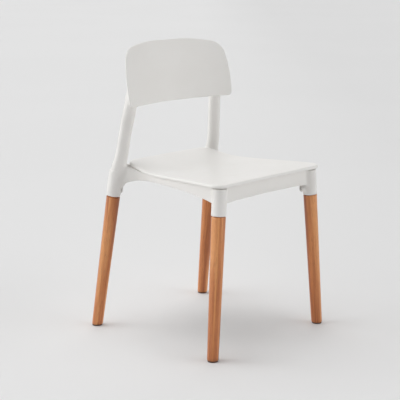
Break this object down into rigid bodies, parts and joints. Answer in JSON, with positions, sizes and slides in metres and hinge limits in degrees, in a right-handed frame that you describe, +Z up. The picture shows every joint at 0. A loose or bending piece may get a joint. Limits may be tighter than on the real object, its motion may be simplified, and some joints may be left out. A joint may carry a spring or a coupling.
{
  "type": "dining chair",
  "caption": "Dining chair: a white moulded frame with sockets and posts, a dished seat panel, a curved back panel and tapered beech legs.",
  "frame": {"origin": "On the floor, under the middle of the chair's overall box", "axes": "+Z up, the sitter faces -Y, +X is the sitter's left"},
  "size_m": [0.4716, 0.4759, 0.799],
  "materials": {
    "white_plastic": "satin off-white polypropylene with a very fine moulded texture",
    "beech": "clear-lacquered beech, warm orange-brown, straight grain along the leg, satin",
    "steel": "zinc-plated steel fasteners",
    "glide": "dark brown moulded nylon"
  },
  "bodies": {
    "root": {"chair_frame": "white_plastic", "seat_panel": "white_plastic", "back_panel": "white_plastic", "front_left_leg": "beech", "front_left_glide": "glide", "front_left_glide_pin": "steel", "front_left_leg_bolt": "steel", "front_left_leg_washer": "steel", "front_left_threaded_insert": "steel", "front_right_leg": "beech", "front_right_glide": "glide", "front_right_glide_pin": "steel", "front_right_leg_bolt": "steel", "front_right_leg_washer": "steel", "front_right_threaded_insert": "steel", "rear_left_leg": "beech", "rear_left_glide": "glide", "rear_left_glide_pin": "steel", "rear_left_leg_bolt": "steel", "rear_left_leg_washer": "steel", "rear_left_threaded_insert": "steel", "rear_right_leg": "beech", "rear_right_glide": "glide", "rear_right_glide_pin": "steel", "rear_right_leg_bolt": "steel", "rear_right_leg_washer": "steel", "rear_right_threaded_insert": "steel", "seat_screw_front_left": "steel", "seat_screw_front_right": "steel", "seat_screw_side_front_left": "steel", "seat_screw_side_front_right": "steel", "seat_screw_side_rear_left": "steel", "seat_screw_side_rear_right": "steel", "seat_screw_rear_left": "steel", "seat_screw_rear_right": "steel", "back_screw_lower_left": "steel", "back_screw_lower_right": "steel", "back_screw_upper_left": "steel", "back_screw_upper_right": "steel"}
  },
  "joints": []
}
